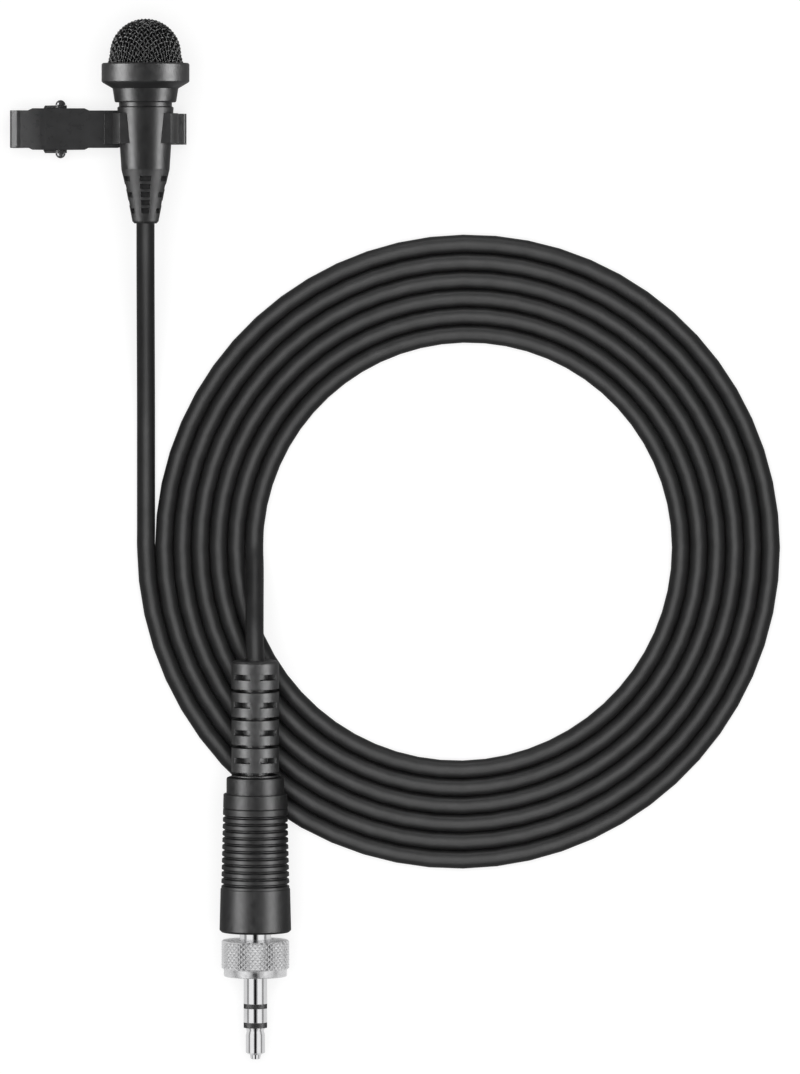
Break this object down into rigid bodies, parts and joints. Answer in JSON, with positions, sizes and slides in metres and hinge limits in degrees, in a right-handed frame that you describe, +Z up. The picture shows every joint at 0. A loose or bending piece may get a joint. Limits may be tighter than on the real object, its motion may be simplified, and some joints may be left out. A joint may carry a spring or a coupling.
{
  "type": "lavalier microphone",
  "caption": "Clip-on lapel microphone with a mesh dome, a sprung toothed clip, a cord wound in a flat coil and a screw-locking 3.5 mm jack plug.",
  "frame": {"origin": "on the surface it lies on, under the middle of the microphone and its clip (without the cord and plug)", "axes": "+Y along the microphone's axis towards its mesh dome, +Z up from the surface, +X towards the clip's jaw"},
  "size_m": [0.1147, 0.1551, 0.0165],
  "materials": {
    "black_metal": "satin",
    "mesh": "satin",
    "foam": "open-cell foam",
    "gasket_rubber": "matte",
    "capsule_can": "satin",
    "board": "solder resist",
    "core_insulation": "matte",
    "sleeve_rubber": "matte",
    "clip_metal": "satin",
    "holder_metal": "satin",
    "steel": "bright",
    "pin_steel": "blackened",
    "cord_jacket": "satin",
    "boot_rubber": "matte",
    "barrel_plastic": "satin",
    "chrome": "polished",
    "brass": "plain",
    "insulator": "satin"
  },
  "bodies": {
    "microphone": {"mesh_basket": "mesh", "foam_liner": "foam", "collar_ring": "black_metal", "capsule_gasket": "gasket_rubber", "capsule": "capsule_can", "capsule_board": "board", "capsule_leads": "core_insulation", "housing": "black_metal", "cord_ferrule": "brass", "kink_sleeve": "sleeve_rubber", "cord_lead": "cord_jacket", "cord_coil": "cord_jacket", "cord_tail": "cord_jacket", "plug_boot": "boot_rubber", "plug_barrel": "barrel_plastic", "plug_bush": "chrome", "jack_sleeve": "chrome", "jack_ring": "chrome", "jack_tip": "chrome", "jack_insulators": "insulator", "tip_terminal": "brass", "ring_terminal": "brass", "cord_clamp": "brass", "plug_leads": "core_insulation"},
    "clip_upper": {"mic_holder": "holder_metal", "holder_rivet": "steel", "clip_upper_arm": "clip_metal", "hinge_pin": "pin_steel", "clip_spring": "steel"},
    "clip_lower": {"clip_lower_arm": "clip_metal"},
    "nut_ring": {"nut_ring": "brass"},
    "lock_nut": {"lock_nut": "chrome"}
  },
  "joints": [
    {"name": "clip_swivel", "type": "hinge", "parent": "microphone", "child": "clip_upper", "pos_m": [0.00685, 0, 0.00998], "axis": [0, 1, 0], "continuous": true},
    {"name": "clip_jaw", "type": "hinge", "parent": "clip_upper", "child": "clip_lower", "pos_m": [-0.0059, -0.0011, 0.00318], "axis": [0, 1, 0], "range_deg": [0, 28], "stiffness_Nm_per_rad": 0.06, "springref_deg": -51.57, "deforming": ["clip_spring"]},
    {"name": "nut_slide", "type": "slide", "parent": "microphone", "child": "nut_ring", "axis": [0, -0.9969, -0.0785], "range_m": [-0.0012, 0.001]},
    {"name": "nut_spin", "type": "hinge", "parent": "nut_ring", "child": "lock_nut", "pos_m": [0.0232, -0.12531, 0.00524], "axis": [0, -0.9969, -0.0785], "continuous": true}
  ]
}
